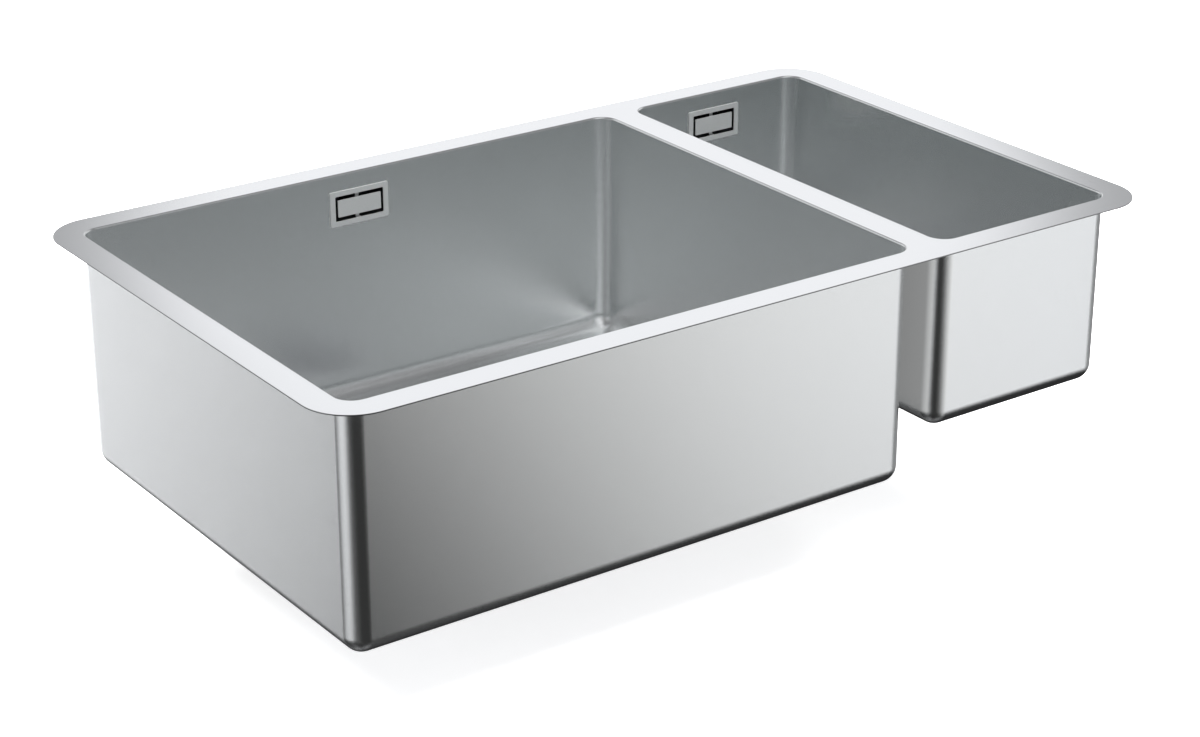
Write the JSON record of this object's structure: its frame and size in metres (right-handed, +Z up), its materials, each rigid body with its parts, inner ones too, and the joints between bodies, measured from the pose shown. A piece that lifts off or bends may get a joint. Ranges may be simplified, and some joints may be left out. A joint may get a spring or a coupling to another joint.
{
  "type": "undermount kitchen sink",
  "caption": "Undermount stainless steel kitchen sink with a large and a small bowl, basket strainer wastes that lift out, and wall overflows piped to the wastes.",
  "frame": {"origin": "middle of the deck's outline, on the deck's top face, which seals under the worktop", "axes": "+X along the sink to the small bowl, +Y to the back walls with the overflows, +Z up"},
  "size_m": [0.755, 0.4545, 0.2771],
  "materials": {
    "deck_steel": "polished to a fine bright satin",
    "bowl_steel": "satin",
    "polished_steel": "polished",
    "frame_steel": "fine satin with bright edges",
    "screw_steel": "plain turned",
    "brass": "plain turned",
    "black_rubber": "matt",
    "pad_grey": "matt, lightly embossed",
    "black_plastic": "moulded, semi-matt"
  },
  "bodies": {
    "sink": {"deck_plate": "deck_steel", "large_bowl": "bowl_steel", "large_floor_pad": "pad_grey", "large_rim_gasket": "black_rubber", "large_strainer_cup": "polished_steel", "large_body_gasket": "black_rubber", "large_waste_body": "black_plastic", "large_waste_hub": "black_plastic", "large_waste_insert": "brass", "large_centre_screw": "screw_steel", "large_overflow_frame": "frame_steel", "large_overflow_plate": "frame_steel", "large_overflow_screw": "screw_steel", "large_overflow_insert": "brass", "large_overflow_gasket": "black_rubber", "large_overflow_housing": "black_plastic", "large_overflow_pipe": "black_plastic", "large_upper_nut": "black_plastic", "large_upper_seal": "black_rubber", "large_lower_nut": "black_plastic", "large_lower_seal": "black_rubber", "small_bowl": "bowl_steel", "small_floor_pad": "pad_grey", "small_rim_gasket": "black_rubber", "small_strainer_cup": "polished_steel", "small_body_gasket": "black_rubber", "small_waste_body": "black_plastic", "small_waste_hub": "black_plastic", "small_waste_insert": "brass", "small_centre_screw": "screw_steel", "small_overflow_frame": "frame_steel", "small_overflow_plate": "frame_steel", "small_overflow_screw": "screw_steel", "small_overflow_insert": "brass", "small_overflow_gasket": "black_rubber", "small_overflow_housing": "black_plastic", "small_overflow_pipe": "black_plastic", "small_upper_nut": "black_plastic", "small_upper_seal": "black_rubber", "small_lower_nut": "black_plastic", "small_lower_seal": "black_rubber"},
    "large_strainer_basket": {"large_basket": "polished_steel"},
    "large_stopper": {"large_stopper_disc": "black_rubber", "large_stopper_stem": "polished_steel", "large_stopper_knob": "polished_steel"},
    "small_strainer_basket": {"small_basket": "polished_steel"},
    "small_stopper": {"small_stopper_disc": "black_rubber", "small_stopper_stem": "polished_steel", "small_stopper_knob": "polished_steel"}
  },
  "joints": [
    {"name": "large_basket_lift", "type": "slide", "parent": "sink", "child": "large_strainer_basket", "axis": [0, 0, 1], "range_m": [0, 0.255]},
    {"name": "large_stopper_lift", "type": "slide", "parent": "large_strainer_basket", "child": "large_stopper", "axis": [0, 0, 1], "range_m": [0, 0.008]},
    {"name": "small_basket_lift", "type": "slide", "parent": "sink", "child": "small_strainer_basket", "axis": [0, 0, 1], "range_m": [0, 0.22]},
    {"name": "small_stopper_lift", "type": "slide", "parent": "small_strainer_basket", "child": "small_stopper", "axis": [0, 0, 1], "range_m": [0, 0.008]}
  ]
}
